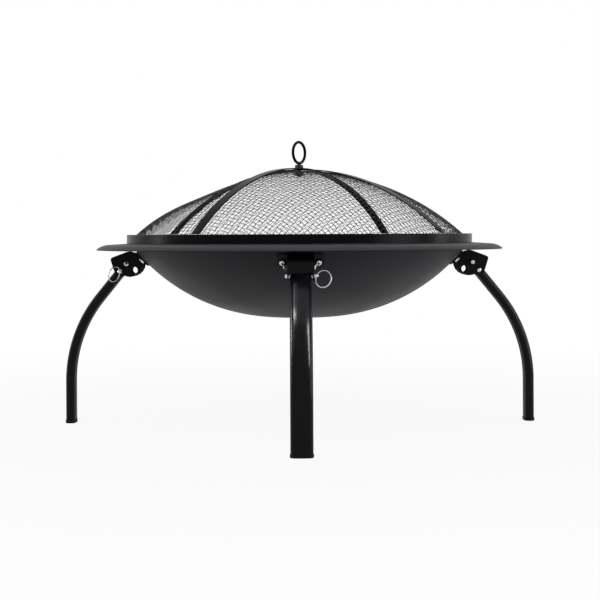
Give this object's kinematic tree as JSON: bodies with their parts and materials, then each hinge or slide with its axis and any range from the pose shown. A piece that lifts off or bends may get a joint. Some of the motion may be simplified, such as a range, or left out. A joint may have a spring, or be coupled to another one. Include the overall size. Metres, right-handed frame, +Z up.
{
  "type": "fire pit with lid",
  "caption": "Round steel fire bowl on folding curved legs, each locked by a ring pin, with a lift-off domed wire-mesh spark lid and ring handle.",
  "frame": {"origin": "centre of the four feet, on the ground", "axes": "+Z up along the bowl's axis, -Y towards the front leg, +X towards the right leg"},
  "size_m": [0.6514, 0.6514, 0.3901],
  "materials": {
    "bowl_steel": "satin",
    "black_steel": "satin",
    "leg_enamel": "gloss",
    "screen_wire": "satin",
    "foot_plastic": "matte",
    "zinc": "satin"
  },
  "bodies": {
    "base": {"bowl": "bowl_steel", "bracket_1": "black_steel", "bracket_2": "black_steel", "bracket_3": "black_steel", "bracket_4": "black_steel", "bracket_screw_1": "zinc", "bracket_screw_2": "zinc", "bracket_screw_3": "zinc", "bracket_screw_4": "zinc", "bracket_screw_5": "zinc", "bracket_screw_6": "zinc", "bracket_screw_7": "zinc", "bracket_screw_8": "zinc", "bracket_nut_1": "zinc", "bracket_nut_2": "zinc", "bracket_nut_3": "zinc", "bracket_nut_4": "zinc", "bracket_nut_5": "zinc", "bracket_nut_6": "zinc", "bracket_nut_7": "zinc", "bracket_nut_8": "zinc", "pivot_screw_1": "zinc", "pivot_screw_2": "zinc", "pivot_screw_3": "zinc", "pivot_screw_4": "zinc", "pivot_nut_1": "black_steel", "pivot_nut_2": "black_steel", "pivot_nut_3": "black_steel", "pivot_nut_4": "black_steel"},
    "lid": {"lid_band": "black_steel", "lid_arch_over": "black_steel", "lid_arch_under": "black_steel", "lid_screen": "screen_wire", "lid_eye_bolt": "zinc", "lid_upper_nut": "black_steel", "lid_washer": "zinc", "lid_lower_nut": "zinc"},
    "leg_set_1": {"leg_1": "leg_enamel", "foot_cap_1": "foot_plastic"},
    "pin_set_1": {"lock_pin_1": "zinc"},
    "ring_set_1": {"pull_ring_1": "zinc"},
    "leg_set_2": {"leg_2": "leg_enamel", "foot_cap_2": "foot_plastic"},
    "pin_set_2": {"lock_pin_2": "zinc"},
    "ring_set_2": {"pull_ring_2": "zinc"},
    "leg_set_3": {"leg_3": "leg_enamel", "foot_cap_3": "foot_plastic"},
    "pin_set_3": {"lock_pin_3": "zinc"},
    "ring_set_3": {"pull_ring_3": "zinc"},
    "leg_set_4": {"leg_4": "leg_enamel", "foot_cap_4": "foot_plastic"},
    "pin_set_4": {"lock_pin_4": "zinc"},
    "ring_set_4": {"pull_ring_4": "zinc"}
  },
  "joints": [
    {"name": "lid_lift", "type": "slide", "parent": "base", "child": "lid", "axis": [0, 0, 1], "range_m": [0, 0.25]},
    {"name": "leg_fold_1", "type": "hinge", "parent": "base", "child": "leg_set_1", "pos_m": [0, -0.239, 0.2205], "axis": [1, 0, 0], "range_deg": [0, 88]},
    {"name": "pin_pull_1", "type": "slide", "parent": "base", "child": "pin_set_1", "axis": [1, 0, 0], "range_m": [0, 0.04]},
    {"name": "ring_swing_1", "type": "hinge", "parent": "pin_set_1", "child": "ring_set_1", "pos_m": [0.0191, -0.24781, 0.20962], "axis": [0.4067, 0, 0.9135], "range_deg": [-28, 88]},
    {"name": "leg_fold_2", "type": "hinge", "parent": "base", "child": "leg_set_2", "pos_m": [0.239, 0, 0.2205], "axis": [0, 1, 0], "range_deg": [0, 88]},
    {"name": "pin_pull_2", "type": "slide", "parent": "base", "child": "pin_set_2", "axis": [0, 1, 0], "range_m": [0, 0.04]},
    {"name": "ring_swing_2", "type": "hinge", "parent": "pin_set_2", "child": "ring_set_2", "pos_m": [0.24781, 0.0191, 0.20962], "axis": [0, 0.4067, 0.9135], "range_deg": [-28, 88]},
    {"name": "leg_fold_3", "type": "hinge", "parent": "base", "child": "leg_set_3", "pos_m": [0, 0.239, 0.2205], "axis": [-1, 0, 0], "range_deg": [0, 88]},
    {"name": "pin_pull_3", "type": "slide", "parent": "base", "child": "pin_set_3", "axis": [-1, 0, 0], "range_m": [0, 0.04]},
    {"name": "ring_swing_3", "type": "hinge", "parent": "pin_set_3", "child": "ring_set_3", "pos_m": [-0.0191, 0.24781, 0.20962], "axis": [-0.4067, 0, 0.9135], "range_deg": [-28, 88]},
    {"name": "leg_fold_4", "type": "hinge", "parent": "base", "child": "leg_set_4", "pos_m": [-0.239, 0, 0.2205], "axis": [0, -1, 0], "range_deg": [0, 88]},
    {"name": "pin_pull_4", "type": "slide", "parent": "base", "child": "pin_set_4", "axis": [0, -1, 0], "range_m": [0, 0.04]},
    {"name": "ring_swing_4", "type": "hinge", "parent": "pin_set_4", "child": "ring_set_4", "pos_m": [-0.24781, -0.0191, 0.20962], "axis": [0, -0.4067, 0.9135], "range_deg": [-18, 98]}
  ]
}
